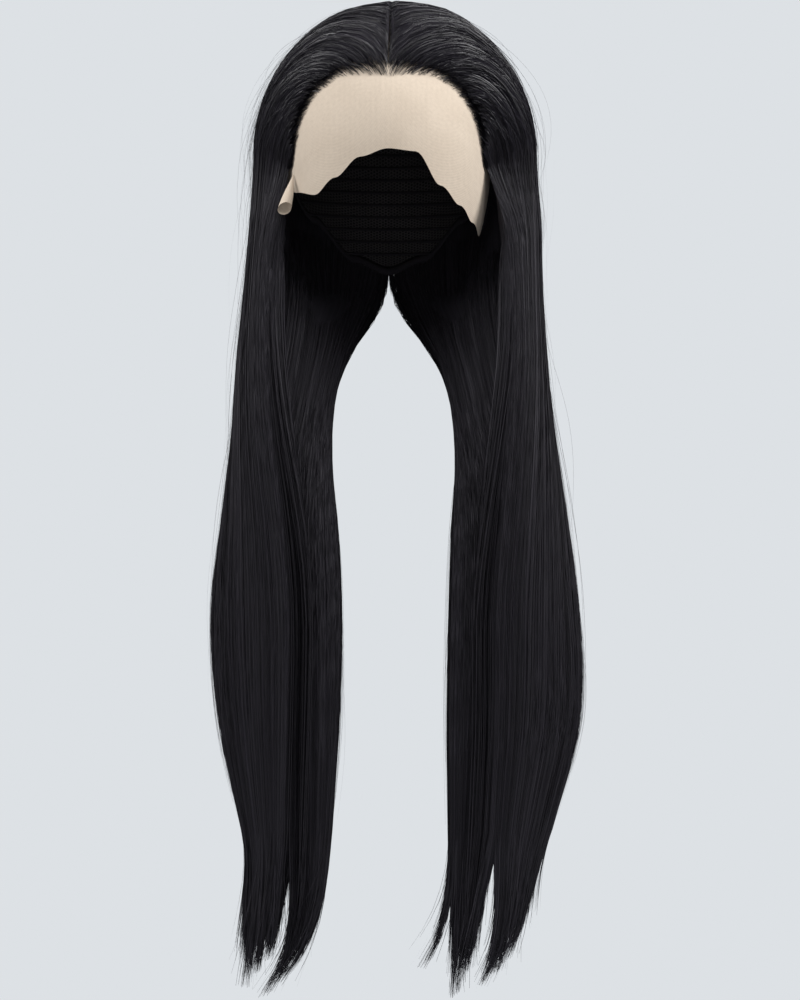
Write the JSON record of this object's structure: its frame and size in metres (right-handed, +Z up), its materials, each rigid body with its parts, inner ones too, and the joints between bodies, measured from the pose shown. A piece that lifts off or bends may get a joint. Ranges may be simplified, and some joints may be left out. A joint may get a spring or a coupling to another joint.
{
  "type": "lace front wig",
  "caption": "Long straight black wig with a centre parting on a sheer beige lace front, its hair lying forward in tresses.",
  "frame": {"origin": "crown of the head hollow, inside the top of the cap", "axes": "+Z up along the wearer's head, -Y the way the wearer faces, +X towards the wearer's left"},
  "size_m": [0.2686, 0.213, 0.731],
  "materials": {
    "lace": "sheer beige net",
    "cap_net": "dark stretch net",
    "hair": "black straight fibre with a soft sheen"
  },
  "bodies": {
    "root": {"lace_front": "lace", "wig_cap": "cap_net", "hair_front_right": "hair", "hair_front_left": "hair", "hair_back_right": "hair", "hair_back_left": "hair"}
  },
  "joints": []
}
